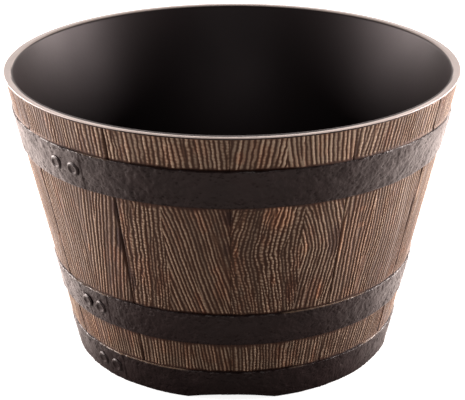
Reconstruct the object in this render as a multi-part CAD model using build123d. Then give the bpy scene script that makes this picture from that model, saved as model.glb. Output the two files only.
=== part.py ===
"""A resin flower pot shaped like a cut-down barrel.

It is one moulded shell with stave grooves, three riveted hoops seated round it, and a rubber stopper in its
drain hole.

Millimetres, +Z up. The origin is the centre of the circle that the pot stands on, and -Y is the front.
An angle called a bearing is measured round +Z from the front towards +X.
"""

import os
from math import cos, degrees, radians, sin

from build123d import *

# Overall form
pot_height = 250.0
rim_diameter = 386.0
foot_diameter = 277.0
wall_thickness = 7.0

# Rim: a smooth lip that stands a little proud of the staves
rim_lip_height = 2.2
rim_overhang = 0.9
rim_outer_chamfer = 0.8
rim_inner_round = 2.5

# Staves, with a groove between them that tapers with the wall from its size at the lip
stave_count = 12
groove_width = 3.6
groove_depth = 1.7

# Inside floor, foot ring and the arches under the foot
floor_thickness = 7.0
floor_lift = 8.0
floor_corner_round = 12.0
foot_ring_width = 15.0
foot_recess_chamfer = 3.0
arch_count = 4
arch_width = 75.0
arch_rise = 5.2

# Hoops: the upper one is placed down from the rim, the lower one up from the ground
upper_seat_drop = 29.0
upper_seat_height = 33.0
lower_seat_bottom = 57.5
lower_seat_height = 29.5
base_seat_height = 29.0
base_hoop_lift = 0.6
hoop_seat_depth = 0.9
hoop_proud = 1.5
hoop_clearance = 0.2

# Lap joint: the outer end of each strip rides up over its inner end
lap_rise = 0.5
lap_run = 30.0
upper_lap_bearing = -38.4
lower_lap_bearing = -40.1
base_lap_bearing = -38.4

# Rivets, two in each lap
rivet_count = 2
upper_rivet_spacing = 21.0
lower_rivet_spacing = 17.5
base_rivet_spacing = 17.5
rivet_end_distance = 10.0
rivet_head_radius = 6.2
rivet_head_height = 1.3
rivet_head_edge = 0.4
rivet_crest_radius = 4.2
rivet_crest_width = 0.9
rivet_dish_radius = 1.9
rivet_dish_depth = 0.8
rivet_shank_radius = 2.4
rivet_shank_bite = 3.2
rivet_clearance = 0.15

# Drain hole, with a boss under the floor and a shallow seat for the stopper's flange
drain_radius = 10.0
drain_boss_radius = 20.0
drain_boss_drop = 4.0
drain_seat_radius = 17.0
drain_seat_depth = 1.5

# Stopper
plug_clearance = 0.25
plug_flange_thickness = 3.0
plug_flange_chamfer = 1.0
plug_stem_length = 11.0
plug_stem_draw = 1.0
plug_stem_chamfer = 1.5
plug_groove_count = 2
plug_groove_depth = 0.8
plug_groove_width = 1.8
plug_tab_width = 18.0
plug_tab_thickness = 4.0
plug_tab_height = 14.0
plug_tab_chamfer = 1.0
plug_tab_root = 1.0

# Worked out from the sizes above
rim_radius = rim_diameter / 2
foot_radius = foot_diameter / 2
lip_bottom = pot_height - rim_lip_height
wall_slope = (rim_radius - rim_overhang - foot_radius) / lip_bottom
floor_top = floor_lift + floor_thickness
foot_ring_inside = foot_radius - foot_ring_width
drain_seat_top = floor_top - drain_seat_depth
cut_margin = 5.0

upper_seat_bottom = pot_height - upper_seat_drop - upper_seat_height

# Each hoop's seat: bottom, height, the bearing of the strip's outer end and the spacing of the rivets there
seats = {
    "base_hoop": (0.0, base_seat_height, base_lap_bearing, base_rivet_spacing),
    "lower_hoop": (lower_seat_bottom, lower_seat_height, lower_lap_bearing, lower_rivet_spacing),
    "upper_hoop": (upper_seat_bottom, upper_seat_height, upper_lap_bearing, upper_rivet_spacing),
}


def wall_radius(z, offset=0.0):
    """Radius of the staves' outer faces at height z, moved outwards by offset."""
    return foot_radius + wall_slope * z + offset


def section_face(points, rounds=(), chamfers=()):
    """Half section in the XZ plane from (radius, height) points, with some corners rounded or chamfered."""
    face = make_face(Polyline(*points, close=True))
    for corner, radius in rounds:
        face = fillet(face.vertices().sort_by_distance((*corner, 0))[0], radius)
    for corner, length in chamfers:
        face = chamfer(face.vertices().sort_by_distance((*corner, 0))[0], length)
    return Plane.XZ * face


def band_points(bottom, top, inner_offset, outer_offset):
    """Section of a band that follows the wall between two heights, at two offsets from the staves' faces."""
    return [
        (wall_radius(bottom, inner_offset), bottom),
        (wall_radius(bottom, outer_offset), bottom),
        (wall_radius(top, outer_offset), top),
        (wall_radius(top, inner_offset), top),
    ]


def seat_points():
    """The outer wall's section from the foot to the lip, with a step in and out for each hoop's seat."""
    points = []
    for bottom, height, *_ in seats.values():
        top = bottom + height
        if bottom > 0:
            points.append((wall_radius(bottom), bottom))
        points.append((wall_radius(bottom, -hoop_seat_depth), bottom))
        points.append((wall_radius(top, -hoop_seat_depth), top))
        points.append((wall_radius(top), top))
    return points


def shell_blank():
    """The moulding as turned: foot ring, raised floor, tapered wall with the hoops' seats, and the lip."""
    boss_bottom = floor_lift - drain_boss_drop
    lip_outside = (rim_radius, pot_height)
    lip_inside = (wall_radius(pot_height, -wall_thickness), pot_height)
    floor_corner = (wall_radius(floor_top, -wall_thickness), floor_top)
    recess_corner = (foot_ring_inside, floor_lift)
    points = [
        (drain_radius, boss_bottom),
        (drain_boss_radius, boss_bottom),
        (drain_boss_radius, floor_lift),
        recess_corner,
        (foot_ring_inside, 0),
        *seat_points(),
        (wall_radius(lip_bottom), lip_bottom),
        (rim_radius, lip_bottom),
        lip_outside,
        lip_inside,
        floor_corner,
        (drain_seat_radius, floor_top),
        (drain_seat_radius, drain_seat_top),
        (drain_radius, drain_seat_top),
    ]
    rounds = [(lip_inside, rim_inner_round), (floor_corner, floor_corner_round)]
    chamfers = [(lip_outside, rim_outer_chamfer), (recess_corner, foot_recess_chamfer)]
    return revolve(section_face(points, rounds, chamfers), Axis.Z)


def stave_grooves():
    """Cutters of the V grooves between the staves, from the lip down past the foot, one at the front.

    Each cutter runs to the point where the wall's cone would close, so its edges on the wall are straight.
    """
    over = groove_depth / 2
    mouth = groove_width / 2 * (groove_depth + over) / groove_depth
    lip_wall = wall_radius(lip_bottom)
    vee = Polyline(
        (-mouth, -lip_wall - over),
        (0, groove_depth - lip_wall),
        (mouth, -lip_wall - over),
        close=True,
    )
    cone_point = Vertex(0, 0, -foot_radius / wall_slope)
    groove = loft([Pos(0, 0, lip_bottom) * make_face(vee), cone_point], ruled=True)
    return PolarLocations(0, stave_count) * groove


def foot_arches():
    """Cutters of the shallow arches under the foot ring and the base hoop, one at the front."""
    half = arch_width / 2
    arch = ThreePointArc((-half, 0), (0, arch_rise), (half, 0))
    below = Polyline((half, 0), (half, -cut_margin), (-half, -cut_margin), (-half, 0))
    section = Plane((0, 0, 0), x_dir=(1, 0, 0), z_dir=(0, -1, 0)) * make_face(arch + below)
    outside = wall_radius(arch_rise, hoop_proud + lap_rise) + cut_margin
    tunnel = extrude(section, outside) - Cylinder(foot_ring_inside - cut_margin, 4 * arch_rise)
    return PolarLocations(0, arch_count) * tunnel


def lap_offset(bearing, lap_bearing):
    """How far a lapped end stands out of its strip: lap_rise at its end, falling to none lap_run before."""
    return lap_rise * sin(radians(bearing - lap_bearing + lap_run)) / sin(radians(lap_run))


def rivet_planes(bottom, height, lap_bearing, spacing):
    """Plane of each rivet's seat on the lap's outer face, x round the pot and z square out of the wall."""
    middle = bottom + height / 2
    planes = []
    for index in range(rivet_count):
        set_back = rivet_end_distance + index * spacing
        bearing = lap_bearing - degrees(set_back / wall_radius(middle, hoop_proud))
        turn = radians(bearing)
        outward = Vector(sin(turn), -cos(turn), 0)
        seat = wall_radius(middle, hoop_proud + lap_offset(bearing, lap_bearing) + rivet_clearance)
        square_out = outward - Vector(0, 0, wall_slope)
        planes.append(Plane(outward * seat + Vector(0, 0, middle), (cos(turn), sin(turn), 0), square_out))
    return planes


def shank_length():
    """Length of a rivet's shank: through the lap and the strip, and into the wall behind the seat."""
    return lap_rise + hoop_proud + hoop_seat_depth + rivet_shank_bite


def rivet_holes(seat):
    """Cutters of a lap's rivet holes, through the strip and blind into the wall."""
    hole = extrude(Circle(rivet_shank_radius + rivet_clearance), -shank_length() - rivet_clearance)
    return [plane * hole for plane in rivet_planes(*seat)]


def pot_shell():
    """The resin moulding: staves, seats, lip, floor, drain hole, arched foot and blind rivet holes."""
    shell = shell_blank() - stave_grooves() - foot_arches()
    for seat in seats.values():
        shell -= rivet_holes(seat)
    return shell


def hoop(seat):
    """One strip standing on its seat's lower edge, with its outer end lapped over its inner end."""
    bottom, height, lap_bearing, _ = seat
    top = bottom + height - hoop_clearance
    if bottom == 0:
        bottom = base_hoop_lift
    inside = hoop_clearance - hoop_seat_depth
    strip = revolve(section_face(band_points(bottom, top, inside, hoop_proud)), Axis.Z)
    lap = revolve(section_face(band_points(bottom, top, 0, hoop_proud)), Axis.Z, lap_run)
    lap_start = lap_bearing - lap_run
    shift = lap_rise / sin(radians(lap_run))
    shift_turn = radians(lap_start + 90)
    lap = Pos(shift * sin(shift_turn), -shift * cos(shift_turn), 0) * Rot(0, 0, lap_start - 90) * lap
    return strip + lap - rivet_holes(seat)


def rivet():
    """One rivet with its head's underside on Z = 0: a raised ring round a shallow dish, on a plain shank."""
    dish = rivet_head_height - rivet_dish_depth
    head = section_face([
        (0, 0),
        (rivet_head_radius, 0),
        (rivet_head_radius, rivet_head_edge),
        (rivet_crest_radius + rivet_crest_width, rivet_head_height),
        (rivet_crest_radius, rivet_head_height),
        (rivet_dish_radius, dish),
        (0, dish),
    ])
    return revolve(head, Axis.Z) + extrude(Circle(rivet_shank_radius), -shank_length())


def rivets(seat):
    """The rivets of one lap, as separate solids."""
    return Compound(children=[plane * rivet() for plane in rivet_planes(*seat)])


def stem_points():
    """The stem's section from its foot up to the flange, drawn in downwards, with a V at each groove."""
    top = drain_radius - plug_clearance
    points = [(top - plug_stem_draw, drain_seat_top - plug_stem_length)]
    for index in reversed(range(plug_groove_count)):
        share = (index + 1) / (plug_groove_count + 1)
        radius, height = top - plug_stem_draw * share, drain_seat_top - plug_stem_length * share
        points.append((radius, height - plug_groove_width / 2))
        points.append((radius - plug_groove_depth, height))
        points.append((radius, height + plug_groove_width / 2))
    points.append((top, drain_seat_top))
    return points


def plug_tab():
    """The upright tab that pulls the stopper, standing on Z = 0, with a round top and chamfered edges."""
    half, shoulder = plug_tab_width / 2, plug_tab_height - plug_tab_width / 2
    sides = Polyline((-half, shoulder), (-half, -plug_tab_root), (half, -plug_tab_root), (half, shoulder))
    crown = ThreePointArc((half, shoulder), (0, plug_tab_height), (-half, shoulder))
    tab = extrude(Plane.XZ * make_face(sides + crown), plug_tab_thickness / 2, both=True)
    faces = tab.faces().sort_by(Axis.Y)
    edges = faces[0].edges() + faces[-1].edges()
    return chamfer(edges.filter_by(lambda edge: edge.center().Z > 0), plug_tab_chamfer)


def drain_plug():
    """The stopper: a flange in the floor's seat, a grooved stem in the hole and a tab on top."""
    flange_radius = drain_seat_radius - 2 * plug_clearance
    flange_top = drain_seat_top + plug_flange_thickness
    flange_edge = (flange_radius, flange_top)
    stem = stem_points()
    points = [(0, stem[0][1]), *stem, (flange_radius, drain_seat_top), flange_edge, (0, flange_top)]
    chamfers = [(flange_edge, plug_flange_chamfer), (stem[0], plug_stem_chamfer)]
    return revolve(section_face(points, chamfers=chamfers), Axis.Z) + Pos(0, 0, flange_top) * plug_tab()


def main():
    """Builds every node and writes one file for each."""
    os.makedirs("parts", exist_ok=True)
    nodes = {"pot_shell": pot_shell(), "drain_plug": drain_plug()}
    for name, seat in seats.items():
        nodes[name] = hoop(seat)
        nodes[f"{name}_rivets"] = rivets(seat)
    nodes["base_hoop"] -= foot_arches()
    for name, shape in nodes.items():
        export_step(shape, f"parts/{name}.step")


main()
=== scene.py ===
"""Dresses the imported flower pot, and sets up the floor, lights and camera of the photograph.

The pot gets carved staves, hammered hoops with riveted laps, a smooth dark inside and a rubber stopper.

Lengths are in millimetres up to the point where a mesh is made. A bearing is an angle in degrees round +Z
from the front (-Y) towards +X.
"""

from math import cos, radians, sin

import bpy
import numpy as np
from mathutils import Matrix, Vector


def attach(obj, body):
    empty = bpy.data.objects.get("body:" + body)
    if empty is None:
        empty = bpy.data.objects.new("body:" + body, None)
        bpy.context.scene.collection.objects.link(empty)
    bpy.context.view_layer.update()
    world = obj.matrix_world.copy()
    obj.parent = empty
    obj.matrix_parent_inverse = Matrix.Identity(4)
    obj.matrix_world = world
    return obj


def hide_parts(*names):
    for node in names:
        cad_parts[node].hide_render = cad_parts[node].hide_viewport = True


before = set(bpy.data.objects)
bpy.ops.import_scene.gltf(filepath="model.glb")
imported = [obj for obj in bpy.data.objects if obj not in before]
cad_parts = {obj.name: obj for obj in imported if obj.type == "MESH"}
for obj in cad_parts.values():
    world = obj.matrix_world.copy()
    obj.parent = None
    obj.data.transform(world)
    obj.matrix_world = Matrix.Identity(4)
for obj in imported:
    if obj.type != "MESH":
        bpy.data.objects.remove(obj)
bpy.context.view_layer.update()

MM = 0.001

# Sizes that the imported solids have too
FOOT_RADIUS = 138.5
POT_HEIGHT = 250.0
LIP_RADIUS = 193.0
LIP_BOTTOM = 247.8
LIP_OVERHANG = 0.9
WALL_SLOPE = (LIP_RADIUS - LIP_OVERHANG - FOOT_RADIUS) / LIP_BOTTOM
WALL_THICKNESS = 7.0
FOOT_RING_INSIDE = 123.5
FLOOR_BOTTOM = 8.0
FLOOR_TOP = 15.0
FLOOR_ROUND = 12.0
BOSS_RADIUS = 20.0
BOSS_BOTTOM = 4.0
DRAIN_RADIUS = 10.0
DRAIN_SEAT_RADIUS = 17.0
DRAIN_SEAT_TOP = 13.5
STAVES = 12
STAVE_ANGLE = 360 / STAVES
GROOVE_DEPTH = 1.7
SEAT_DEPTH = 0.9
HOOP_PROUD = 1.5
HOOP_CLEARANCE = 0.2
LAP_RISE = 0.5
LAP_RUN = 30.0
RIVET_COUNT = 2
RIVET_END_DISTANCE = 10.0
RIVET_CLEARANCE = 0.15
ARCH_WIDTH = 75.0
ARCH_RISE = 5.2

# Each hoop: bottom and top of its seat, lowest point of the strip, bearing of its outer end, and the spacing of
# its rivets
HOOPS = {
    "base_hoop": (0.0, 29.0, 0.6, -38.4, 17.5),
    "lower_hoop": (57.5, 87.0, 57.5, -40.1, 17.5),
    "upper_hoop": (188.0, 221.0, 188.0, -38.4, 21.0),
}

PATTERN_RADIUS = 168.9  # the wall's radius where the grain has its true pitch
MM_PER_DEGREE = PATTERN_RADIUS * radians(1)


def wall_radius(z):
    return FOOT_RADIUS + WALL_SLOPE * z


def smoothstep(low, high, value):
    t = np.clip((value - low) / (high - low), 0, 1)
    return t * t * (3 - 2 * t)


def arch_height(radius, bearing):
    """Height of the underside of the nearest arch at a radius and bearing, or 0 between the arches."""
    nearest = (bearing + 45) % 90 - 45
    across = radius * np.sin(np.radians(nearest))
    circle = (ARCH_WIDTH ** 2 / 4 + ARCH_RISE ** 2) / (2 * ARCH_RISE)
    return np.maximum(np.sqrt(circle ** 2 - across ** 2) - circle + ARCH_RISE, 0)


# Fields of noise

class Tile:
    """A field that repeats in both directions and is read between its points."""

    def __init__(self, across_step, along_step, values):
        self.steps = across_step, along_step
        self.values = values

    def read(self, across, along):
        rows, columns = self.values.shape
        x = across / self.steps[0]
        y = along / self.steps[1]
        x0, y0 = np.floor(x).astype(int), np.floor(y).astype(int)
        fx, fy = x - x0, y - y0
        x1, y1 = (x0 + 1) % columns, (y0 + 1) % rows
        x0, y0 = x0 % columns, y0 % rows
        v = self.values
        low = v[y0, x0] * (1 - fx) + v[y0, x1] * fx
        high = v[y1, x0] * (1 - fx) + v[y1, x1] * fx
        return low * (1 - fy) + high * fy


def spectrum(seed, size, steps, weight):
    """Random complex amplitudes for every wave that fits in the tile, weighted by its wave numbers."""
    rng = np.random.default_rng(seed)
    kx = 2 * np.pi * np.fft.fftfreq(size[0], steps[0])[None, :]
    ky = 2 * np.pi * np.fft.fftfreq(size[1], steps[1])[:, None]
    waves = rng.normal(size=(size[1], size[0])) + 1j * rng.normal(size=(size[1], size[0]))
    return np.fft.ifft2(waves * weight(kx, ky))


def soft_tile(seed, across, along, size=(512, 512), steps=(0.4, 0.8)):
    """Smooth noise of unit spread whose lumps are about across by along millimetres."""
    field = spectrum(
        seed, size, steps,
        lambda kx, ky: np.exp(-(kx * across) ** 2 / 8 - (ky * along) ** 2 / 8),
    ).real
    return Tile(*steps, field / field.std())


def ridge_tile(seed, pitch, spread, run, size=(1024, 512), steps=(0.2, 0.8)):
    """Complex noise whose phase turns once in each pitch, in ridges that run for about run millimetres."""
    base = 2 * np.pi / pitch
    field = spectrum(
        seed, size, steps,
        lambda kx, ky: np.exp(-((kx - base) / (spread * base)) ** 2 / 2 - (ky * run) ** 2 / 2),
    )
    return Tile(*steps, field / np.sqrt((abs(field) ** 2).mean()))


# Meshes

def make_mesh(name, points, quads, polygons=(), attributes=None, sharp=None):
    """An object from points in millimetres, an array of quads and a list of longer faces."""
    mesh = bpy.data.meshes.new(name)
    quads = np.asarray(quads, dtype=np.int32).reshape(-1, 4)
    corners = [quads.ravel()] + [np.asarray(face, dtype=np.int32) for face in polygons]
    lengths = np.concatenate([np.full(len(quads), 4), [len(face) for face in polygons]]).astype(np.int32)
    corners = np.concatenate(corners)
    mesh.vertices.add(len(points))
    mesh.vertices.foreach_set("co", (np.asarray(points) * MM).ravel())
    mesh.loops.add(len(corners))
    mesh.loops.foreach_set("vertex_index", corners)
    mesh.polygons.add(len(lengths))
    mesh.polygons.foreach_set("loop_start", np.concatenate([[0], np.cumsum(lengths)[:-1]]).astype(np.int32))
    mesh.update(calc_edges=True)
    for key, values in (attributes or {}).items():
        data = mesh.attributes.new(key, "FLOAT", "POINT").data
        data.foreach_set("value", np.ravel(values).astype(np.float32))
    mesh.shade_smooth()
    if sharp:
        mesh.set_sharp_from_angle(angle=radians(sharp))
    if mesh.validate():
        raise RuntimeError(f"{name} has faces that don't hold together")
    obj = bpy.data.objects.new(name, mesh)
    bpy.context.collection.objects.link(obj)
    return obj


def grid_quads(rows, columns, start=0, closed_rows=False, closed_columns=False, flip=False):
    """Quads between the points of a grid that is stored row by row."""
    i = np.arange(rows if closed_rows else rows - 1)[:, None]
    j = np.arange(columns if closed_columns else columns - 1)[None, :]
    i1, j1 = (i + 1) % rows, (j + 1) % columns
    corners = [i * columns + j, i * columns + j1, i1 * columns + j1, i1 * columns + j]
    quads = np.stack(corners, -1).reshape(-1, 4)
    return (quads[:, ::-1] if flip else quads) + start


def round_corners(points, segments=5):
    """A closed outline from (x, y, radius) corners, with each corner that has a radius drawn as an arc."""
    outline = []
    for index, (x, y, radius) in enumerate(points):
        here = np.array([x, y])
        if not radius:
            outline.append(here)
            continue
        before = np.array(points[index - 1][:2]) - here
        after = np.array(points[(index + 1) % len(points)][:2]) - here
        before, after = before / np.linalg.norm(before), after / np.linalg.norm(after)
        half = np.arccos(np.clip(before @ after, -1, 1)) / 2
        middle = (before + after) / np.linalg.norm(before + after)
        centre = here + middle * radius / np.sin(half)
        start = here + before * radius / np.tan(half) - centre
        end = here + after * radius / np.tan(half) - centre
        turn = np.arctan2(start[0] * end[1] - start[1] * end[0], start @ end)
        for step in range(segments + 1):
            a = turn * step / segments
            outline.append(centre + [start[0] * np.cos(a) - start[1] * np.sin(a),
                                     start[0] * np.sin(a) + start[1] * np.cos(a)])
    return np.array(outline)


def around(radius, bearing, z):
    """Points from cylindrical arrays."""
    turn = np.radians(bearing)
    return np.stack(np.broadcast_arrays(radius * np.sin(turn), -radius * np.cos(turn), z), -1)


# Grain of the staves

RIDGE_PITCH = 3.35
BEAD_PITCH = 2.9

combed = ridge_tile(11, RIDGE_PITCH, 0.13, 30)
dashed = ridge_tile(12, RIDGE_PITCH, 0.17, 13)
chain = ridge_tile(21, BEAD_PITCH, 0.30, 1.3, (512, 512), (0.4, 0.4))
jitter = soft_tile(27, 2.2, 3.0, (512, 512), (0.4, 0.4))
worn = soft_tile(28, 2.6, 9.0, (512, 512), (0.4, 0.6))
streaks = soft_tile(22, 2.2, 60)
waves = soft_tile(23, 30, 55)
lumps = soft_tile(24, 16, 30)
fades = soft_tile(26, 5, 5)

# How the grain of each stave runs. Its bands are the main field, the strip under the rim and the strip over
# the base. A band has the bearing from the stave's left joint and the height where its two sides meet, then
# the lean of the lines (mm to the right per mm up) above and below that height, on the left and on the right.
# "beaded" is how broken the ridges are on each side of the main field, "fade" how far they fade below the
# upper hoop, "gain" how light they are, and "ease" the share of its lean that the main field's left side
# keeps where the sides meet. Bands that aren't given are drawn at random.
GRAINS = [
    dict(main=((18.9, 146.0), (0.31, -0.24), (-0.31, 0.13)), top=((13, 232), (0.10, 0.14), (-0.12, -0.17)),
         low=((17, 46), (-0.02, -0.02), (0.05, 0.05)), beaded=(0.95, 0.35), fade=2,
         gain=1.12, ease=0.4),
    dict(main=((9.5, 140.0), (0.03, 0.03), (-0.04, 0.08)), top=((8, 232), (0.07, 0.07), (0.02, 0.02)),
         low=((12, 46), (0.10, 0.10), (0.14, 0.14)), beaded=(0.15, 0.25), fade=1),
    dict(main=((15.0, 130.0), (-0.04, -0.10), (0.12, 0.20)), beaded=(0.2, 0.5), fade=2),
    dict(main=((9.0, 150.0), (0.05, 0.02), (-0.20, -0.30)), beaded=(0.6, 0.1), fade=5),
    dict(main=((20.0, 120.0), (0.22, -0.20), (-0.18, 0.26)), beaded=(0.4, 0.7), fade=2),
    dict(main=((14.0, 150.0), (-0.14, -0.10), (0.10, 0.12)), beaded=(0.1, 0.3), fade=4),
    dict(main=((11.0, 135.0), (0.28, -0.16), (-0.24, 0.14)), beaded=(0.3, 0.9), fade=6),
    dict(main=((16.0, 140.0), (0.12, 0.16), (-0.06, -0.02)), beaded=(0.6, 0.2), fade=2),
    dict(main=((13.0, 160.0), (-0.16, -0.10), (0.16, 0.12)), beaded=(0.1, 0.2), fade=1),
    dict(main=((19.0, 130.0), (0.16, -0.24), (-0.22, 0.20)), beaded=(0.9, 0.3), fade=3),
    dict(main=((16.0, 140.0), (0.02, 0.02), (0.16, 0.15)), top=((15, 232), (0.02, 0.02), (-0.01, -0.01)),
         low=((15, 46), (0.0, 0.0), (-0.05, -0.05)), beaded=(0.15, 0.2), fade=1),
    dict(main=((12.8, 140.0), (0.06, 0.06), (-0.24, -0.31)), top=((16, 232), (-0.07, -0.03), (-0.13, -0.10)),
         low=((17, 46), (0.04, 0.04), (-0.13, -0.13)), beaded=(0.75, 0.15), fade=3),
]

# How deep and dark each joint between two staves looks, from the front joint round towards +X
JOINTS = [0.16, 0.10, 0.9, 0.6, 0.8, 0.4, 0.7, 0.5, 0.9, 0.6, 0.9, 0.75]

# Marks on the staves: bearing, height, half their width in degrees, half their height, strength
RUST = [
    (11.8, 176, 4.2, 15, 0.6), (1.2, 150, 1.2, 12, 0.9), (-28.2, 158, 1.6, 24, 0.6),
    (-24.5, 122, 3.6, 16, 0.6), (-20.0, 108, 2.5, 10, 0.4), (24.5, 106, 3.0, 14, 0.7),
    (17.0, 106, 2.0, 12, 0.6), (37.0, 148, 7.0, 40, 0.45), (20.5, 158, 1.6, 14, 0.5),
    (-40.0, 100, 6.0, 14, 0.4), (-16.0, 47, 6.0, 8, 0.5), (-6.0, 46, 4.0, 9, 0.6),
    (14.0, 45, 5.0, 8, 0.5), (7.0, 234, 5.0, 10, 0.5), (-13.0, 234, 4.0, 10, 0.5),
    (42.0, 234, 6.0, 10, 0.4), (-52.0, 43, 13.0, 12, 0.8), (-36.0, 52, 6.0, 7, 0.5),
    (2.5, 232, 1.6, 6, 1.0),
]
DUSK = [
    (-30.6, 148, 1.5, 13, 1.0), (-30.4, 176, 1.0, 10, 0.9), (-29.0, 112, 1.4, 12, 0.7),
    (-0.3, 179, 1.1, 8, 0.9), (-1.0, 150, 0.9, 7, 0.5), (28.5, 150, 2.5, 16, 0.4),
    (-1.4, 181, 1.5, 8, 0.5), (60.0, 98, 20.0, 56, 0.18), (20.5, 108, 6.0, 18, 0.2),
    (-34.5, 150, 5.0, 110, 0.18), (-56.0, 234, 14.0, 20, 0.15), (55.0, 40, 20.0, 20, 0.12),
]
PALE = [
    (12.0, 179, 4.4, 11, 0.75), (3.0, 168, 2.4, 12, 0.25), (1.6, 147, 0.5, 5, 0.9),
    (1.2, 134, 0.4, 6, 0.8), (26.0, 102, 0.9, 9, 0.9), (30.7, 150, 0.5, 24, 0.9),
    (-28.8, 172, 0.4, 8, 0.8), (-43.4, 130, 0.6, 4, 0.9), (20.2, 146, 0.7, 7, 0.7),
    (36.0, 173, 1.4, 3, 0.8), (36.5, 158, 1.4, 3, 0.8),
]

# Where the grain stays clear right up to the hoop over it
CLEAR = [(12.0, 182, 4.8, 14, 1.0), (25.0, 184, 3.0, 8, 0.7), (-26.0, 184, 4.0, 9, 0.8)]

# Where the gap over a hoop is filled
FILLED = [
    (42.0, 222, 28.0, 8, 0.9), (-36.0, 222, 14.0, 8, 0.4), (-50.0, 88, 20.0, 8, 0.5),
    (42.0, 88, 24.0, 8, 0.6), (76.0, 222, 26.0, 8, 0.9), (-72.0, 222, 34.0, 8, 0.9),
    (-80.0, 88, 20.0, 8, 0.8), (78.0, 88, 24.0, 8, 0.8), (-78.0, 30, 26.0, 8, 0.8),
    (76.0, 30, 26.0, 8, 0.8), (-34.0, 30, 26.0, 8, 0.7), (40.0, 30, 20.0, 8, 0.5),
    (150.0, 222, 30.0, 8, 0.6), (-140.0, 88, 30.0, 8, 0.6),
]

FRONT_STEP = 0.64  # between the rows of a stave's front
FRONT_COLUMNS = 221
BACK_ROW_STEP = 8  # a stave's back has a row for this many of its front
BACK_OFFSET = 4.0  # from the wall's face to a stave's back
STAVE_BOTTOM = 24.0
BARE_WALL = [(28.4, 58.1), (86.2, 188.8), (220.2, LIP_BOTTOM)]  # heights where the staves show

# The bands of grain change behind the two upper hoops, and random ones meet at these heights
LOW_BORDER, TOP_BORDER = 72.0, 204.0
LOW_MEETING, TOP_MEETING = 46, 232
MAIN_BAND = 1
STAVE_SEED = 100

# How far apart the staves, their bands, the right sides of the bands and the joints read the noise
STAVE_SHIFT, BAND_SHIFT, RIGHT_SHIFT, JOINT_SHIFT = 37.0, 53.0, 91.0, 29.0

RIDGE_TOP = 0.25
VALLEY = 0.62
CREST_POWER = 0.95
STREAK_RELIEF = 0.10
BODY_RELIEF = 0.14
FADED_DEPTH = 0.2  # how far the wall lies back where the grain has faded out
SHOULDER_DEPTH = 0.3  # and beside a joint
DUSK_DEPTH = 0.25  # and in a dusky mark
BEHIND_HOOP = 0.3  # and behind a hoop, further than its seat
SEAM_HALF = 1.2  # half the width of a joint's visible gap at the lip
LOWER_FADE = 2.5  # how far the grain fades below the two lower hoops
HOOP_GAP = 1.0  # depth of the gap along the top of each hoop, where the wood is also painted dark as shade
HOOP_FILLET = 0.8  # how far the wall stands out over a hoop where the gap is filled

GAIN = 1.04  # how light the ridges are
STRIP_LIGHTNESS = (57, 87, 188, 221), (1.08, 1.0, 1.0, 1.01)  # how light each strip's grain is drawn, by height
SIDE_BEARINGS = 34, 62  # grain that has faded out beside a hoop is painted lighter between these bearings, towards the sides, as painted light
FRONT_BEARINGS = 50, 24  # and the ridges under the rim get bolder between these


def stave_heights():
    """Heights of the grid's rows: close together where the wall shows, and far apart behind the hoops."""
    heights = [STAVE_BOTTOM]
    for low, high in BARE_WALL:
        heights.extend(np.linspace(low, high, round((high - low) / FRONT_STEP) + 1))
    return np.array(heights)


def lean_shift(rise, above, below, turn=3.0):
    """Sideways shift of a line that leans by above over its meeting point and by below under it."""
    return 0.5 * (above + below) * rise + 0.5 * (above - below) * (np.sqrt(rise ** 2 + turn ** 2) - turn)


def side_field(u, z, meet, lean, beaded, at, ease=1.0):
    """The complex ridge field on one side of a stave, and the coordinate that is constant along its lines.

    Near the line where the sides meet, the lines lean by the share that ease gives.
    """
    middle = meet[0] * MM_PER_DEGREE
    share = ease + (1 - ease) * np.clip(1 - u / middle, 0, 1)
    p = u - middle - share * lean_shift(z - meet[1], *lean)
    across = p + at + 0.8 * waves.read(u + at, z) + (0.12 + 0.20 * beaded) * jitter.read(p + at, z)
    broken = smoothstep(0.25, 0.75, beaded)
    field = (1 - broken) * combed.read(across, z + at) + broken * dashed.read(across, z)
    return field, p


def bands_of(grain, rng):
    """Bottom, top, meeting point, leans and brokenness of each band of a stave's grain."""
    def loose(centre):
        left, right = rng.uniform(-0.14, 0.06), rng.uniform(-0.04, 0.16)
        return (rng.uniform(9, 21), centre), (left, left), (right, right)

    low = grain.get("low") or loose(LOW_MEETING)
    top = grain.get("top") or loose(TOP_MEETING)
    rough = rng.uniform(0.15, 0.6, (2, 2))
    return [
        (STAVE_BOTTOM, LOW_BORDER, *low, rough[0]),
        (LOW_BORDER, TOP_BORDER, *grain["main"], grain["beaded"]),
        (TOP_BORDER, POT_HEIGHT, *top, rough[1]),
    ]


def marks(spots, bearing, z):
    """Soft ovals on the wall, as strong as their list says."""
    share = np.zeros(np.broadcast_shapes(bearing.shape, z.shape))
    for middle, height, half_width, half_height, strength in spots:
        away = ((bearing - middle) / half_width) ** 2 + ((z - height) / half_height) ** 2
        share = np.maximum(share, strength * smoothstep(1.3, 0.3, away))
    return share


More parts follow.
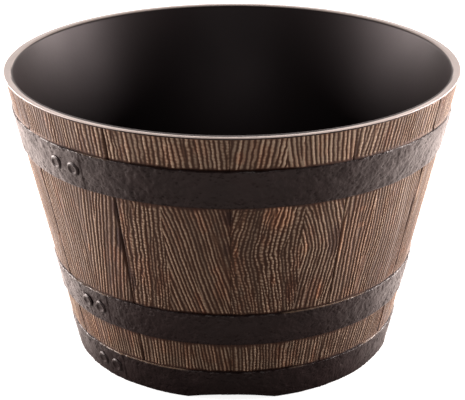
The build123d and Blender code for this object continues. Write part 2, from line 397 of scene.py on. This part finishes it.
def grain_field(index, z, u):
    """A stave's ridge field, the coordinate that is constant along its lines, and how broken they are."""
    grain = GRAINS[index]
    shape = (len(z), FRONT_COLUMNS)
    field = np.zeros(shape, dtype=complex)
    along = np.zeros(shape)
    beaded = np.zeros(shape)
    for number, band in enumerate(bands_of(grain, np.random.default_rng(STAVE_SEED + index))):
        low, high, meet, left, right, rough = band
        rows = (z[:, 0] >= low) & (z[:, 0] < high)
        zr = z[rows]
        at = STAVE_SHIFT * index + BAND_SHIFT * number
        ease = grain.get("ease", 1.0) if number == MAIN_BAND else 1.0
        field_left, p_left = side_field(u, zr, meet, left, rough[0], at, ease)
        field_right, p_right = side_field(u, zr, meet, right, rough[1], at + RIGHT_SHIFT)
        middle = meet[0] * MM_PER_DEGREE + 0.8 * lumps.read(zr * 0.4 + at, zr)
        weight = smoothstep(-0.9, 0.9, u - middle)
        field[rows] = (1 - weight) * field_left + weight * field_right
        along[rows] = np.where(weight < 0.5, p_left, p_right) + at
        beaded[rows] = (1 - weight) * rough[0] + weight * rough[1]
    return field, along, beaded


def ridge_profile(field, along, beaded, bold, z):
    """How high the ridges stand, from 0 in a valley to 1 on a crest, with beads and worn stretches."""
    firm = smoothstep(0.0, 0.16, abs(field))
    crest = (0.5 + 0.5 * np.cos(np.angle(field)) * firm) ** (CREST_POWER - 0.25 * bold)
    links = chain.read(z + 0.15 * along, along)
    bead = np.cos(np.angle(links)) * smoothstep(0.1, 0.7, abs(links))
    faint = smoothstep(0.2, 1.8, worn.read(along, z))
    return crest * (1 - (0.16 + 0.42 * beaded) * (0.5 - 0.5 * bead)) * (1 - (0.20 + 0.22 * beaded) * faint)


def beside_hoops(fade, z, facing, ragged):
    """How much of the grain is left, how deep the gap over a hoop is and how much painted shade darkens it, and
    how far out its filling stands.
    """
    near = np.ones(ragged.shape)
    gap = np.zeros(ragged.shape)
    fillet = np.zeros(ragged.shape)
    filled = marks(FILLED, facing, z)
    for name, (bottom, top, *_) in HOOPS.items():
        over = z > (bottom + top) / 2
        longest = fade if name == "upper_hoop" else LOWER_FADE
        reach = 1.2 + longest * np.maximum(1 + 0.5 * ragged, 0.2)
        above = smoothstep(0.3, 2.9 + 0.6 * ragged, z - top)
        near *= np.where(over, above, smoothstep(0, reach, bottom - z + 0.2))
        # The gap over each hoop, whose share also paints shade into the wood's colour there
        gap = np.maximum(gap, np.where(over, smoothstep(1.5, 0.4, z - top), 0))
        fillet = np.maximum(fillet, np.where(over, smoothstep(2.4, 0.2, z - top), 0))
    gap *= (1 - filled) * np.clip(0.85 + 0.25 * ragged, 0, 1)
    near = np.maximum(near, marks(CLEAR, facing, z) * smoothstep(0, 1.0, HOOPS["upper_hoop"][0] - z))
    return near, gap, HOOP_FILLET * filled * fillet


def beside_joints(index, z, share, taper):
    """The groove at a stave's edges, how clear of it the grain is and how dark it looks, all ragged."""
    edge = np.minimum(share, 1 - share) * (radians(STAVE_ANGLE) * wall_radius(z))
    nearest = np.where(share < 0.5, index, (index + 1) % STAVES)
    strength = np.array(JOINTS)[nearest]
    ragged = fades.read(nearest * JOINT_SHIFT, z * 0.6)
    half = SEAM_HALF * taper * (0.75 + 0.35 * strength) * (1 + 0.22 * ragged)
    groove = np.clip(1 - edge / half, 0, 1) * (0.22 + 0.78 * strength) * np.clip(1 + 0.3 * ragged, 0.4, 1.3)
    return groove, smoothstep(0.5, 1.7, edge / half), 0.15 + 0.85 * strength


def stave_surface(index):
    """Height of a stave's grain over the wall in millimetres, and what its material reads, on the grid."""
    grain = GRAINS[index]
    z = stave_heights()[:, None]
    share = np.linspace(0, 1, FRONT_COLUMNS)[None, :]
    u = share * STAVE_ANGLE * MM_PER_DEGREE
    bearing = index * STAVE_ANGLE + share * STAVE_ANGLE
    facing = (bearing + 180) % 360 - 180
    offset = STAVE_SHIFT * index
    bold = smoothstep(*FRONT_BEARINGS, abs(facing)) * (z > TOP_BORDER)
    # Share towards the sides, where the faded grain beside the hoops is painted lighter as painted light
    painted_side_light = smoothstep(*SIDE_BEARINGS, abs(facing))

    field, along, beaded = grain_field(index, z, u)
    beaded *= 1 - 0.8 * marks(CLEAR, facing, z)
    ridge = ridge_profile(field, along, beaded, bold, z)
    streak = streaks.read(along, z)

    # Grain fades at the hoops, and starts with rounded ends under the lip
    ragged = fades.read(u + offset, z)
    near, gap, fillet = beside_hoops(grain["fade"], z, facing, ragged)
    # Beside the hoops the faded grain is painted darker and purple as shade, less so towards the sides
    painted_hoop_shade = (1 - near) * (1 - 0.8 * painted_side_light)
    near *= smoothstep(-0.2, 0.7, LIP_BOTTOM - z + 0.3 * ragged)

    taper = wall_radius(z) / wall_radius(LIP_BOTTOM)
    groove, clear, dark = beside_joints(index, z, share, taper)

    carved = RIDGE_TOP - VALLEY * (1 - ridge) + STREAK_RELIEF * streak * ridge
    height = carved * near * clear - FADED_DEPTH * (1 - near) - SHOULDER_DEPTH * (1 - clear)
    height = height + BODY_RELIEF * lumps.read(u + offset, z) * clear - GROOVE_DEPTH * taper * groove
    height = height - HOOP_GAP * gap + fillet
    # Behind the hoops the wall steps down into their seats
    for bottom, top, *_ in HOOPS.values():
        inside = smoothstep(0.5, 0.9, z - bottom) * smoothstep(0.5, 0.9, top - z)
        height = height * (1 - inside) - (SEAT_DEPTH + BEHIND_HOOP) * inside
        height = height - GROOVE_DEPTH * 0.4 * groove * inside

    dusk_marks = marks(DUSK, facing, z)
    # Dark marks, and the painted shade beside the hoops
    dusk = np.maximum(dusk_marks, 0.8 * painted_hoop_shade)
    gain = grain.get("gain", GAIN) * (1 + 0.2 * beaded) * np.interp(z, *STRIP_LIGHTNESS) * (1 + 0.15 * bold)
    # Where the grain has faded beside a hoop its tone is painted lighter towards the sides, as painted light
    shade = gain * (ridge * near + (0.40 + 0.22 * painted_side_light) * (1 - near)) * (1 - 0.75 * dark * (1 - clear))
    return {
        "z": z,
        "bearing": bearing,
        "height": height - DUSK_DEPTH * dusk_marks,
        # The wood in the gap over each hoop is painted dark as shade
        "ridge": shade * (1 - 0.8 * dark * np.clip(groove, 0, 1)) * (1 - 0.45 * dusk) * (1 - gap),
        "streak": np.clip(0.5 + 0.25 * streak, 0, 1),
        "rust": marks(RUST, facing, z),
        "dusk": dusk,
        "pale": marks(PALE, facing, z),
    }


def make_stave(index, material):
    """One stave as a closed solid: a carved front, and a plain back, top, bottom and sides."""
    surface = stave_surface(index)
    z, bearing, height = surface["z"], surface["bearing"], surface["height"]
    rows, columns = height.shape
    front = around(wall_radius(z) + height, bearing, z)

    coarse = list(range(0, rows, BACK_ROW_STEP))
    if coarse[-1] != rows - 1:
        coarse.append(rows - 1)
    back = around(wall_radius(z[coarse]) - BACK_OFFSET, bearing, z[coarse])
    back_start = rows * columns
    points = np.concatenate([front.reshape(-1, 3), back.reshape(-1, 3)])

    quads = [grid_quads(rows, columns), grid_quads(len(coarse), columns, back_start, flip=True)]
    j = np.arange(columns - 1)
    back_top = back_start + (len(coarse) - 1) * columns
    front_top = (rows - 1) * columns
    quads.append(np.stack([j + 1, j, back_start + j, back_start + j + 1], -1))
    quads.append(np.stack([front_top + j, front_top + j + 1, back_top + j + 1, back_top + j], -1))
    sides = []
    for number in range(len(coarse) - 1):
        low, high = coarse[number], coarse[number + 1]
        b0, b1 = back_start + number * columns, back_start + (number + 1) * columns
        left = [row * columns for row in range(low, high + 1)]
        sides.append(left + [b1, b0])
        right = [row * columns + columns - 1 for row in range(high, low - 1, -1)]
        sides.append(right + [b0 + columns - 1, b1 + columns - 1])

    total = len(points)
    attributes = {}
    for key in ("ridge", "streak", "rust", "dusk", "pale"):
        values = np.zeros(total)
        values[:back_start] = np.broadcast_to(surface[key], height.shape).ravel()
        attributes[key] = values
    obj = make_mesh(f"stave_{index + 1:02d}", points, np.concatenate(quads), sides, attributes, sharp=75)
    obj.data.materials.append(material)
    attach(obj, "pot")
    return obj


# The moulding behind the staves

LINER_SEGMENTS = 720
LINER_OFFSET = 1.0  # from the wall's face to the liner's, behind the base hoop
ARCH_START = 118.0  # radius outside which the arches are cut
LIP_ROUND = 3.4
LIP_WIPE = 6.1, 5.0  # width of the lip that is wiped tan at the sides, and how much less it is at the front


def make_liner(material):
    """Lip, inside, floor, drain seat, underside and foot ring as one turned solid with the arches cut."""
    def behind(z, offset, rounding=0):
        return wall_radius(z) - offset, z, rounding

    lip_top = [(LIP_RADIUS - inward, POT_HEIGHT, 0) for inward in np.arange(1.1, 4.6, 0.4)]
    outline = round_corners([
        (DRAIN_RADIUS, BOSS_BOTTOM, 0.6), (BOSS_RADIUS, BOSS_BOTTOM, 0.8), (BOSS_RADIUS, FLOOR_BOTTOM, 1.0),
        (FOOT_RING_INSIDE, FLOOR_BOTTOM, 3.0), (FOOT_RING_INSIDE, 0.0, 0.8),
        behind(0.0, LINER_OFFSET, 0.8), behind(STAVE_BOTTOM, LINER_OFFSET),
        behind(STAVE_BOTTOM, BACK_OFFSET), behind(LIP_BOTTOM, BACK_OFFSET),
        (LIP_RADIUS - 1.2, LIP_BOTTOM, 0), (LIP_RADIUS - 1.1, POT_HEIGHT - 1.5, 0.2),
        (LIP_RADIUS, POT_HEIGHT - 1.1, 0.25), (LIP_RADIUS, POT_HEIGHT, 0.7), *lip_top,
        behind(POT_HEIGHT, WALL_THICKNESS, LIP_ROUND), behind(FLOOR_TOP, WALL_THICKNESS, FLOOR_ROUND),
        (DRAIN_SEAT_RADIUS, FLOOR_TOP, 0.5), (DRAIN_SEAT_RADIUS, DRAIN_SEAT_TOP, 0.4),
        (DRAIN_RADIUS, DRAIN_SEAT_TOP, 0.5),
    ])
    bearing = np.arange(LINER_SEGMENTS)[None, :] * 360 / LINER_SEGMENTS
    radius, z = outline[:, :1], outline[:, 1:]
    arch = arch_height(radius, bearing) * smoothstep(9, 0, z)
    lifted = np.where(radius > ARCH_START, np.maximum(z, 0) + arch, z)
    points = around(radius, bearing, lifted)
    quads = grid_quads(len(outline), LINER_SEGMENTS, closed_rows=True, closed_columns=True)
    frontal = np.clip(np.cos(np.radians(bearing)), 0, 1)
    wiped = -LIP_WIPE[0] + LIP_WIPE[1] * frontal
    attributes = {
        "lip": smoothstep(wiped - 0.5, wiped, radius - wall_radius(z)) * (z > LIP_BOTTOM - 1),
        # The rim top is painted lighter towards the front, a painted highlight
        "frontal": np.broadcast_to(frontal ** 2, lifted.shape),
        # Below the rim top the lip's outer face is painted near black, a painted shadow under the rim
        "rim_top": np.broadcast_to(smoothstep(POT_HEIGHT - 0.9, POT_HEIGHT - 0.7, z), lifted.shape),
    }
    obj = make_mesh("lip_and_liner", points.reshape(-1, 3), quads, attributes=attributes, sharp=50)
    obj.data.materials.append(material)
    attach(obj, "pot")
    return obj


# Hoops and rivets

HOOP_STEP = 0.2  # degrees between the points round a strip
FACE_ROWS = 46  # points across a strip's outer face
BACK_ROWS = 4  # and across its inner face
HOOP_EDGE = 0.9  # rounding of a strip's edges
LAP_DROP = 0.7  # degrees over which a lap's end drops to the strip
LAP_GAP = 0.03  # degrees between the strip's last points and its first
ARCH_LEVEL = 4.0  # height at which the base hoop meets the arches
ARCH_MARGIN = 0.15
PIT_STEP = 0.4
PIT_COUNT = 2900

# Stretches where the top edge of a hoop is drawn tan: from, to, strength
TAN_EDGES = {
    "base_hoop": [(-52, -13, 0.9), (18, 26, 0.5), (48, 64, 0.8), (100, 128, 0.7), (-150, -120, 0.8)],
    "lower_hoop": [(-58, -37, 0.6), (14, 46, 0.9), (80, 110, 0.6), (160, 190, 0.8), (-120, -90, 0.7)],
    "upper_hoop": [(-41, -28, 0.5), (62, 84, 0.4), (130, 150, 0.5), (-170, -140, 0.4)],
}

# A rivet from the foot of its shank to the middle of its dish: radius, level over the lap, rounding
RIVET_CORNERS = [
    (0.0, -2.0, 0), (2.4, -2.0, 0), (2.4, 0.0, 0), (6.2, 0.0, 0), (6.2, 0.3, 0.25), (4.9, 1.25, 0.8),
    (4.1, 1.25, 0.8), (2.3, 0.35, 0.9), (0.0, 0.3, 0),
]
RIVET_SEGMENTS = 56

hammer = [soft_tile(31, 5.0, 4.0), soft_tile(32, 2.4, 2.0), soft_tile(33, 14, 9)]
speckle = soft_tile(34, 1.3, 1.2, (1024, 256), (0.3, 0.3))


def lap_offset(bearing, end):
    """How far the strip's outer face stands out at a bearing, with a rounded step at the lap's end."""
    run = np.radians(bearing - end + LAP_RUN)
    inside = (bearing >= end - LAP_RUN) & (bearing <= end)
    rise = LAP_RISE * np.sin(run) / sin(radians(LAP_RUN))
    return np.where(inside, rise * smoothstep(0, LAP_DROP, end - bearing), 0)


def tan_edge_share(name, bearing):
    """How far the top edge of a hoop is drawn tan, raggedly."""
    share = np.zeros(bearing.shape)
    for low, high, strength in TAN_EDGES[name]:
        stretch = smoothstep(low, low + 4, bearing) * smoothstep(high, high - 4, bearing)
        share = np.maximum(share, strength * stretch)
    ragged = hammer[0].read(bearing * MM_PER_DEGREE + 700, np.full(bearing.shape, 5.0))
    return share * np.clip(0.8 + 0.25 * ragged, 0, 1)


def pit_field(seed, length, height, count):
    """Depth of scattered oval dents on a strip that is unrolled, more of them near its edges."""
    step = PIT_STEP
    field = np.zeros((int(height / step) + 1, int(length / step) + 1))
    rng = np.random.default_rng(seed)
    for _ in range(count):
        x = rng.uniform(0, length)
        side = rng.beta(0.8, 1.9) * height / 2
        y = side if rng.random() < 0.5 else height - side
        half_x, half_y = rng.uniform(0.6, 1.5), rng.uniform(0.4, 0.8)
        depth = rng.uniform(0.12, 0.5)
        reach = int(2.5 * half_x / step)
        ci, cj = int(y / step), int(x / step)
        i = np.arange(max(ci - reach, 0), min(ci + reach, field.shape[0]))[:, None]
        j = np.arange(cj - reach, cj + reach)[None, :]
        dent = depth * np.exp(-((i * step - y) / half_y) ** 2 - ((j * step - x) / half_x) ** 2)
        j = j % field.shape[1]
        field[i, j] = np.maximum(field[i, j], dent)
    return Tile(step, step, field)


def make_hoop(name, material):
    """A strip round the pot with hammered face, rounded edges and a lapped end."""
    _, seat_top, bottom, end, _ = HOOPS[name]
    top = seat_top - HOOP_CLEARANCE
    bearing = np.arange(end, end + 360, HOOP_STEP)
    bearing = np.concatenate([bearing, [end + 360 - LAP_GAP]])
    bearing = np.where(bearing > 180, bearing - 360, bearing)
    lap = lap_offset(bearing, end - 1e-6)[None, :]
    lap[0, 0] = 0

    # The section runs up the outer face from the bottom edge and back down the inner face
    low = np.full(len(bearing), bottom)
    if name == "base_hoop":
        low = np.maximum(low, arch_height(wall_radius(ARCH_LEVEL), bearing) + ARCH_MARGIN)
    low = low[None, :]
    z = low + (top - low) * np.linspace(0, 1, FACE_ROWS)[:, None]
    arc = bearing[None, :] * radians(1) * PATTERN_RADIUS + 600
    down = top - z
    shoulder = np.minimum(z - low, down)
    turned = np.clip(1 - np.clip(1 - shoulder / HOOP_EDGE, 0, 1) ** 2, 0, 1)
    rounding = HOOP_EDGE * (1 - np.sqrt(turned))
    beat = 0.13 * hammer[0].read(arc, z) + 0.08 * hammer[1].read(arc, z) + 0.16 * hammer[2].read(arc, z)
    beat += 0.07 * np.clip(speckle.read(arc, z), -1, 2)
    dents = pit_field(sum(map(ord, name)), 2 * np.pi * PATTERN_RADIUS, top - bottom, PIT_COUNT)
    pits = dents.read(arc, z - bottom)
    relief = (beat - pits - 0.1) * smoothstep(-0.3, 0.8, shoulder)
    outer = wall_radius(z) + HOOP_PROUD + lap - rounding + np.minimum(relief, 0.35)
    inner = wall_radius(z) - SEAT_DEPTH + HOOP_CLEARANCE
    back_rows = np.linspace(FACE_ROWS - 1, 0, BACK_ROWS).astype(int)
    points = np.concatenate([
        around(outer, bearing[None, :], z),
        around(inner[back_rows], bearing[None, :], z[back_rows]),
    ])
    rows, columns = points.shape[:2]
    quads = grid_quads(rows, columns, closed_rows=True, closed_columns=True)
    # Along each hoop's top edge the colour is painted darker as shade and the sheen dulled, less so towards the
    # sides
    top_edge_shade = smoothstep(1.6, 0.2, down) * (0.28 + 0.12 * hammer[1].read(arc + 300, z))
    top_edge_shade *= 1 - 0.7 * smoothstep(40, 66, abs(bearing))[None, :]
    tan_edge = np.zeros((rows, columns))
    tan_edge[:FACE_ROWS] = smoothstep(0.75, 0.25, down) * tan_edge_share(name, bearing)[None, :]
    tan_edge[FACE_ROWS] = tan_edge[FACE_ROWS - 1]
    pits_and_edge_shade = np.concatenate([np.maximum(pits, top_edge_shade), np.zeros((BACK_ROWS, columns))])
    attributes = {"pits_and_edge_shade": pits_and_edge_shade, "tan_edge": tan_edge}
    obj = make_mesh(f"{name}_hammered", points.reshape(-1, 3), quads, attributes=attributes, sharp=50)
    obj.data.materials.append(material)
    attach(obj, "pot")
    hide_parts(name)
    return obj


def make_rivets(name, material):
    """Both rivets of a lap as one piece: a raised ring round a dish, worn unevenly."""
    seat_bottom, seat_top, _, end, spacing = HOOPS[name]
    middle = (seat_bottom + seat_top) / 2
    face = wall_radius(middle) + HOOP_PROUD
    outline = round_corners(RIVET_CORNERS, 4)
    turn = np.linspace(0, 2 * np.pi, RIVET_SEGMENTS, endpoint=False)[None, :]
    radius, level = outline[1:-1, :1], outline[1:-1, 1:]
    rows = len(radius)
    all_points, all_quads, fans, start = [], [], [], 0
    rng = np.random.default_rng(sum(map(ord, name)))
    for index in range(RIVET_COUNT):
        set_back = RIVET_END_DISTANCE + spacing * index
        bearing = end - np.degrees(set_back / face)
        out = face + float(lap_offset(np.array([bearing]), end)[0]) + RIVET_CLEARANCE
        a = radians(bearing)
        outward = np.array([sin(a), -cos(a), 0.0])
        square = outward - [0, 0, WALL_SLOPE]
        square = square / np.linalg.norm(square)
        side = np.array([cos(a), sin(a), 0.0])
        up = np.cross(square, side)
        origin = outward * out + [0, 0, middle]
        wobble = 1 + 0.03 * np.cos(2 * turn + rng.uniform(0, 6)) + 0.02 * np.cos(3 * turn + rng.uniform(0, 6))
        dent = 0.12 * np.cos(turn + rng.uniform(0, 6)) * (level > 0.3)
        local_r = radius * np.where(level > 0.2, wobble, 1)
        x, y, h = local_r * np.cos(turn), local_r * np.sin(turn), level + dent
        ring = origin + x[..., None] * side + y[..., None] * up + h[..., None] * square
        ends = origin + np.array([outline[0, 1], outline[-1, 1]])[:, None] * square
        all_points += [ring.reshape(-1, 3), ends]
        all_quads.append(grid_quads(rows, RIVET_SEGMENTS, start, closed_columns=True, flip=True))
        foot, crown = start + rows * RIVET_SEGMENTS, start + rows * RIVET_SEGMENTS + 1
        last = start + (rows - 1) * RIVET_SEGMENTS
        for j in range(RIVET_SEGMENTS):
            k = (j + 1) % RIVET_SEGMENTS
            fans.append([start + k, start + j, foot])
            fans.append([last + j, last + k, crown])
        start += rows * RIVET_SEGMENTS + 2
    points, quads = np.concatenate(all_points), np.concatenate(all_quads)
    obj = make_mesh(f"{name}_rivet_heads", points, quads, fans, sharp=60)
    obj.data.materials.append(material)
    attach(obj, "pot")
    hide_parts(f"{name}_rivets")
    return obj


# Materials

class Shader:
    """A material with one Principled shader, and short calls for the nodes that feed it."""

    def __init__(self, name, **sockets):
        self.material = bpy.data.materials.new(name)
        self.material.use_nodes = True
        self.tree = self.material.node_tree
        self.surface = self.tree.nodes["Principled BSDF"]
        for socket, value in sockets.items():
            self.surface.inputs[socket.replace("_", " ")].default_value = value

    def node(self, kind, inputs=None, **settings):
        node = self.tree.nodes.new("ShaderNode" + kind)
        for key, value in settings.items():
            setattr(node, key, value)
        for key, value in (inputs or {}).items():
            socket = node.inputs[key]
            if isinstance(value, bpy.types.NodeSocket):
                self.tree.links.new(value, socket)
            else:
                socket.default_value = value
        return node

    def link(self, output, socket):
        self.tree.links.new(output, self.surface.inputs[socket])

    def attribute(self, name):
        return self.node("Attribute", attribute_name=name).outputs["Fac"]

    def noise(self, scale, detail=2.0, rough=0.5, stretch=(1, 1, 1)):
        place = self.node("TexCoord").outputs["Object"]
        mapped = self.node("Mapping", {"Vector": place, "Scale": stretch}).outputs["Vector"]
        return self.node("TexNoise", {"Vector": mapped, "Scale": scale, "Detail": detail,
                                      "Roughness": rough}).outputs["Fac"]

    def ramp(self, value, stops):
        node = self.node("ValToRGB", {"Fac": value})
        ramp = node.color_ramp
        while len(ramp.elements) < len(stops):
            ramp.elements.new(0.5)
        for element, (position, colour) in zip(ramp.elements, stops):
            element.position = position
            element.color = (*colour, 1)
        return node.outputs["Color"]

    def mix(self, share, first, second, blend="MIX"):
        node = self.node("Mix", data_type="RGBA", blend_type=blend)
        for key, value in ((0, share), (6, first), (7, second)):
            socket = node.inputs[key]
            if isinstance(value, bpy.types.NodeSocket):
                self.tree.links.new(value, socket)
            else:
                socket.default_value = value
        return node.outputs[2]

    def span(self, value, low, high, out_low, out_high):
        return self.node("MapRange", {"Value": value, "From Min": low, "From Max": high, "To Min": out_low,
                                      "To Max": out_high}).outputs["Result"]

    def bump(self, height, distance, strength=1.0):
        node = self.node("Bump", {"Height": height, "Distance": distance, "Strength": strength})
        self.link(node.outputs["Normal"], "Normal")


def wood_resin():
    s = Shader("wood_grained_resin", Specular_IOR_Level=0.30, Sheen_Weight=0.12, Sheen_Roughness=0.35)
    ridge = s.attribute("ridge")
    tan = s.ramp(ridge, [
        (0.0, (0.046, 0.0185, 0.0090)), (0.30, (0.072, 0.0320, 0.0180)), (0.55, (0.155, 0.088, 0.055)),
        (0.80, (0.345, 0.240, 0.165)), (1.0, (0.500, 0.390, 0.285)),
    ])
    rusty = s.ramp(ridge, [
        (0.0, (0.052, 0.0180, 0.0085)), (0.30, (0.090, 0.0330, 0.0180)), (0.55, (0.195, 0.088, 0.050)),
        (0.80, (0.400, 0.225, 0.140)), (1.0, (0.550, 0.365, 0.245)),
    ])
    freckle = s.span(s.noise(70, 3, 0.6, (1, 1, 0.5)), 0.54, 0.66, 0.0, 0.75)
    warm = s.node("Math", {0: freckle, 1: s.attribute("rust")}, operation="MAXIMUM").outputs[0]
    colour = s.mix(warm, tan, rusty)
    dull = s.mix(s.span(s.attribute("streak"), 0.15, 0.85, 0.55, 0.0), colour, (0.060, 0.036, 0.025, 1))
    dusty = s.span(s.noise(9, 3, 0.6), 0.45, 0.7, 0.0, 0.4)
    aged = s.mix(dusty, dull, (0.66, 0.64, 0.66, 1), "MULTIPLY")
    # Dark purple marks, and the painted shade beside the hoops, darken the colour
    dusk = s.mix(s.attribute("dusk"), aged, (0.55, 0.50, 0.62, 1), "MULTIPLY")
    bright = s.mix(s.attribute("pale"), dusk, (1.75, 1.62, 1.5, 1), "MULTIPLY")
    s.link(bright, "Base Color")
    fine = s.noise(420, 3, 0.6, (1, 1, 0.6))
    s.link(s.span(s.noise(60, 3), 0.3, 0.7, 0.36, 0.52), "Roughness")
    s.bump(fine, 0.00025, 0.5)
    return s.material


def liner_resin():
    s = Shader("smooth_dark_resin", Specular_Tint=(1, 0.94, 1, 1))
    inside = s.ramp(s.noise(5, 3, 0.5), [(0.3, (0.0050, 0.0030, 0.0030)), (0.7, (0.0080, 0.0050, 0.0049))])
    # The lip's outer face below the rim top is painted near black, a painted shadow under the rim
    under = s.ramp(s.noise(40, 3, 0.6), [(0.3, (0.006, 0.003, 0.002)), (0.7, (0.016, 0.009, 0.006))])
    top = s.ramp(s.noise(24, 3, 0.6), [(0.3, (0.26, 0.223, 0.198)), (0.7, (0.32, 0.277, 0.250))])
    # Towards the front the rim top is painted lighter, a painted highlight
    painted_highlight_top = s.mix(s.attribute("frontal"), top, (2.7, 2.8, 2.9, 1), "MULTIPLY")
    lip = s.attribute("lip")
    s.link(s.mix(lip, inside, s.mix(s.attribute("rim_top"), under, painted_highlight_top)), "Base Color")
    s.link(s.span(lip, 0, 1, 0.16, 0.6), "Specular IOR Level")
    smoothest, roughest = s.span(lip, 0, 1, 0.40, 0.27), s.span(lip, 0, 1, 0.50, 0.36)
    s.link(s.span(s.noise(8, 3), 0.3, 0.7, smoothest, roughest), "Roughness")
    s.bump(s.noise(260, 2), 0.0002, 0.25)
    return s.material


def hoop_resin(name, dark, light):
    s = Shader(name)
    pits_and_edge_shade = s.attribute("pits_and_edge_shade")
    # Dents, and the painted shade along each top edge, darken the colour and dull the sheen
    base = s.mix(s.span(pits_and_edge_shade, 0.1, 0.5, 0, 0.7), s.ramp(s.noise(30, 4, 0.6), [(0.3, dark), (0.7, light)]),
                 (0.004, 0.002, 0.002, 1))
    s.link(s.span(pits_and_edge_shade, 0.08, 0.45, 0.47, 0.12), "Specular IOR Level")
    s.link(s.mix(s.attribute("tan_edge"), base, (0.24, 0.17, 0.12, 1)), "Base Color")
    s.link(s.span(s.noise(45, 3), 0.3, 0.7, 0.30, 0.42), "Roughness")
    s.bump(s.noise(480, 3, 0.7), 0.0004, 0.75)
    return s.material


def stopper_rubber():
    s = Shader("stopper_rubber", Specular_IOR_Level=0.35)
    s.link(s.ramp(s.noise(60, 3), [(0.3, (0.012, 0.012, 0.012)), (0.7, (0.022, 0.021, 0.021))]), "Base Color")
    s.link(s.span(s.noise(90, 2), 0.3, 0.7, 0.62, 0.78), "Roughness")
    s.bump(s.noise(500, 3), 0.0002, 0.4)
    return s.material


# Stage

TABLE_FRONT = 0.28  # radiance of the table in front of the pot, where white is 1
TABLE_SHADE = 0.14, 0.44  # the pot's shadow is painted into the table's light in front of it between these distances, in metres
TABLE_BACK = 3.4
TABLE_TURN = -0.85, 0.70  # the front gives way to the back between these, from -1 in front to 1 behind
TABLE_SEEN = 0.85  # radiance for the camera
LIGHT_COLOUR = (1.0, 0.87, 0.83)

# Soft boxes: name, place and aim in metres, width and height, watts
LIGHTS = [
    ("left_box", (-1.6, 0.56, 0.48), (0, 0, 0.2), (1.8, 0.7), 82),
    ("right_box", (1.58, 0.55, 0.50), (0, 0, 0.2), (1.7, 0.7), 92),
    ("back_box", (0, 2.6, 1.0), (0, 0, 0.25), (3.4, 1.4), 30),
    ("front_fill", (0.0, -2.8, 1.15), (0, 0, 0.1), (2.4, 0.8), 15.5),
]

# The photograph's camera, in metres and degrees, turned a little to the right of the front groove
CAMERA_LENS = 113.67
CAMERA_PLACE = (0, -1.2032, 0.6144)
CAMERA_DOWN = 22.26
CAMERA_ORBIT = 0.6
CAMERA_ROLL = -0.18


def light_table():
    """White for the camera, while the light that it throws on the pot is strong only from the back."""
    s = Shader("light_table", Roughness=0.9, Specular_IOR_Level=0.0)
    seen = s.node("LightPath").outputs["Is Camera Ray"]
    place = s.node("TexCoord").outputs["Object"]
    direction = s.node("VectorMath", {0: place}, operation="NORMALIZE").outputs["Vector"]
    depth = s.node("SeparateXYZ", {"Vector": direction}).outputs["Y"]
    away = s.node("VectorMath", {0: place}, operation="LENGTH").outputs["Value"]
    # The table's light in front of the pot is painted down near it, a painted shadow of the pot
    front = s.span(away, *TABLE_SHADE, 0.0, TABLE_FRONT)
    glow = s.node("MapRange", {
        "Value": depth, "From Min": TABLE_TURN[0], "From Max": TABLE_TURN[1],
        "To Min": front, "To Max": TABLE_BACK,
    }, interpolation_type="SMOOTHSTEP").outputs["Result"]
    s.link(s.mix(seen, (0.1, 0.09, 0.085, 1), (0.7, 0.7, 0.7, 1)), "Base Color")
    s.link(s.mix(seen, (1.0, 0.84, 0.78, 1), (1, 1, 1, 1)), "Emission Color")
    s.link(s.span(seen, 0, 1, glow, TABLE_SEEN), "Emission Strength")
    return s.material


def make_floor():
    points = np.array([(-8000, -8000, 0), (8000, -8000, 0), (8000, 8000, 0), (-8000, 8000, 0)], dtype=float)
    obj = make_mesh("floor", points, [[0, 1, 2, 3]])
    obj.data.materials.append(light_table())


def make_light(name, place, aim, size, power):
    """A soft box that faces its aim, in metres and watts."""
    data = bpy.data.lights.new(name, "AREA")
    data.shape = "RECTANGLE"
    data.size, data.size_y = size
    data.energy = power
    data.color = LIGHT_COLOUR
    obj = bpy.data.objects.new(name, data)
    turn = (Vector(place) - Vector(aim)).to_track_quat("Z", "Y")
    obj.matrix_world = Matrix.Translation(place) @ turn.to_matrix().to_4x4()
    obj.visible_camera = False
    bpy.context.collection.objects.link(obj)


def make_camera():
    data = bpy.data.cameras.new("camera")
    data.lens = CAMERA_LENS
    data.sensor_width = 36
    data.clip_end = 50
    obj = bpy.data.objects.new("camera", data)
    orbit = Matrix.Rotation(radians(CAMERA_ORBIT), 4, "Z")
    place = Matrix.Translation(CAMERA_PLACE)
    tilt = Matrix.Rotation(radians(90 - CAMERA_DOWN), 4, "X")
    roll = Matrix.Rotation(radians(CAMERA_ROLL), 4, "Z")
    obj.matrix_world = orbit @ place @ tilt @ roll
    bpy.context.collection.objects.link(obj)
    bpy.context.scene.camera = obj


def make_world():
    world = bpy.data.worlds.new("studio")
    bpy.context.scene.world = world
    world.use_nodes = True
    tree = world.node_tree
    back = tree.nodes["Background"]
    path = tree.nodes.new("ShaderNodeLightPath")
    span = tree.nodes.new("ShaderNodeMapRange")
    span.inputs["To Min"].default_value = 0.2
    span.inputs["To Max"].default_value = 1.0
    tree.links.new(path.outputs["Is Camera Ray"], span.inputs["Value"])
    tree.links.new(span.outputs["Result"], back.inputs["Strength"])
    back.inputs["Color"].default_value = (1, 1, 1, 1)


make_floor()
make_world()
for light in LIGHTS:
    make_light(*light)
make_camera()

wood = wood_resin()
for number in range(STAVES):
    make_stave(number, wood)
liner = make_liner(liner_resin())
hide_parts("pot_shell")
black = hoop_resin("hammered_hoop_resin", (0.0125, 0.0068, 0.0070), (0.0235, 0.0140, 0.0143))
for hoop in HOOPS:
    make_hoop(hoop, black)
    make_rivets(hoop, black)
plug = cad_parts["drain_plug"]
plug.data.materials.clear()
plug.data.materials.append(stopper_rubber())

bpy.context.scene.view_settings.view_transform = "Standard"
